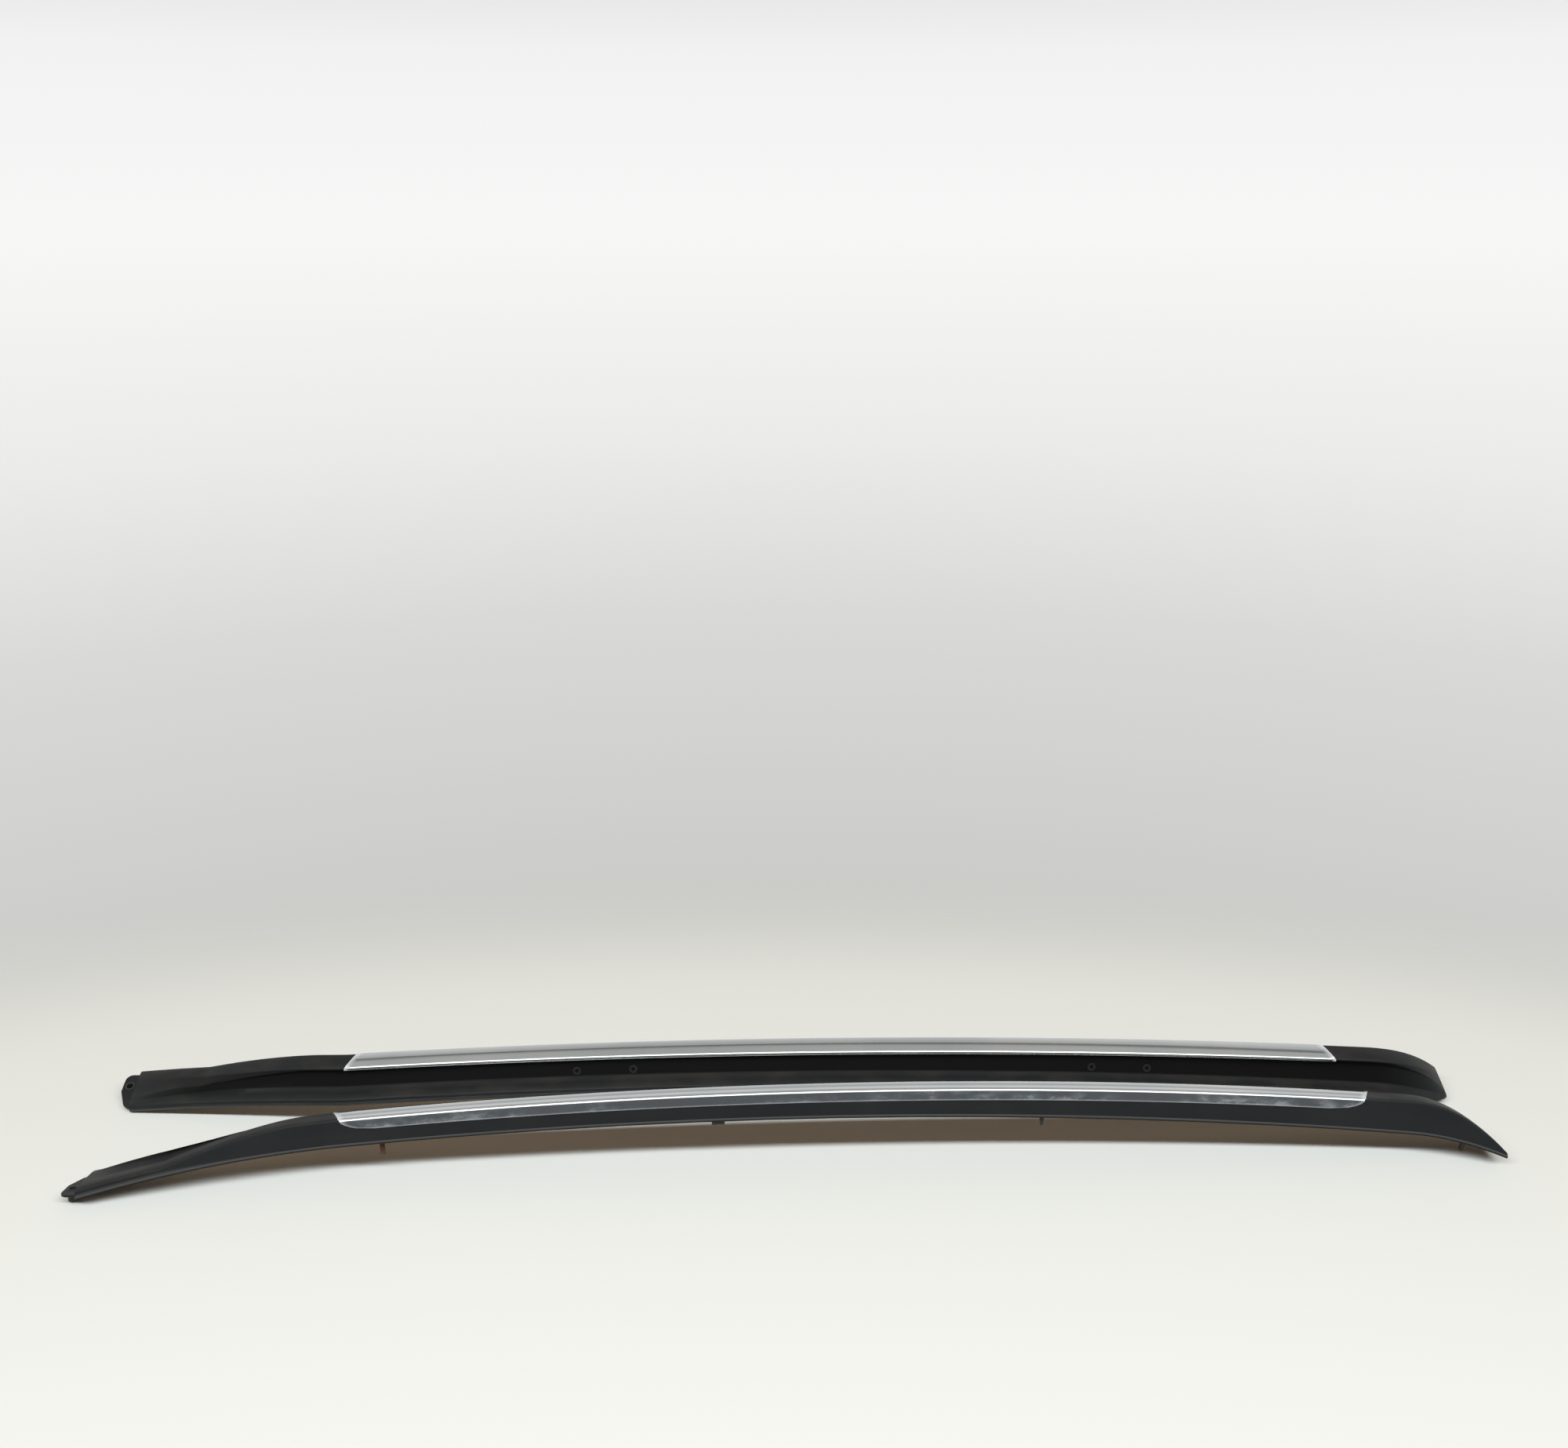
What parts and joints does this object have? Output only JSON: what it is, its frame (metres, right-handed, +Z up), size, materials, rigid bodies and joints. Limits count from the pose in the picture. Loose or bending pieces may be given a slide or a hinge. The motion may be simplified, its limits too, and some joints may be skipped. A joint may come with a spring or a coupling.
{
  "type": "roof side rail pair",
  "caption": "Pair of arched roof side rails with flat front feet, drooping tails, a bright strip over the crest and an inner channel for crossbars.",
  "frame": {"origin": "centre of the pair's box on the floor that both rails rest on", "axes": "+X towards the tails, along the rails, +Y from the left rail to the right rail, +Z up from the floor"},
  "size_m": [1.8131, 0.2593, 0.1157],
  "materials": {
    "body_plastic": "fine grain, dusty",
    "bright_trim": "bright, with water spots and smudges",
    "carrier_aluminium": "extruded, plain",
    "pad_rubber": "matt",
    "plate_steel": "zinc plated",
    "screw_steel": "zinc plated",
    "bush_plastic": "matt",
    "stud_rusty": "brown rust",
    "stud_steel": "dull",
    "pin_plastic": "matt",
    "socket_steel": "blackened"
  },
  "bodies": {
    "root": {"left_rail_body": "body_plastic", "left_bright_strip": "bright_trim", "left_carrier_bar": "carrier_aluminium", "left_base_pad": "pad_rubber", "left_foot_plate": "plate_steel", "left_tail_plate": "plate_steel", "left_plate_screws": "screw_steel", "left_tab_bush": "bush_plastic", "left_front_stud": "stud_rusty", "left_tail_stud": "stud_steel", "left_locating_pin": "pin_plastic", "left_snap_clip": "pin_plastic", "left_crossbar_sockets": "socket_steel", "right_rail_body": "body_plastic", "right_bright_strip": "bright_trim", "right_carrier_bar": "carrier_aluminium", "right_base_pad": "pad_rubber", "right_foot_plate": "plate_steel", "right_tail_plate": "plate_steel", "right_plate_screws": "screw_steel", "right_tab_bush": "bush_plastic", "right_front_stud": "stud_rusty", "right_tail_stud": "stud_steel", "right_locating_pin": "pin_plastic", "right_snap_clip": "pin_plastic", "right_crossbar_sockets": "socket_steel"}
  },
  "joints": []
}
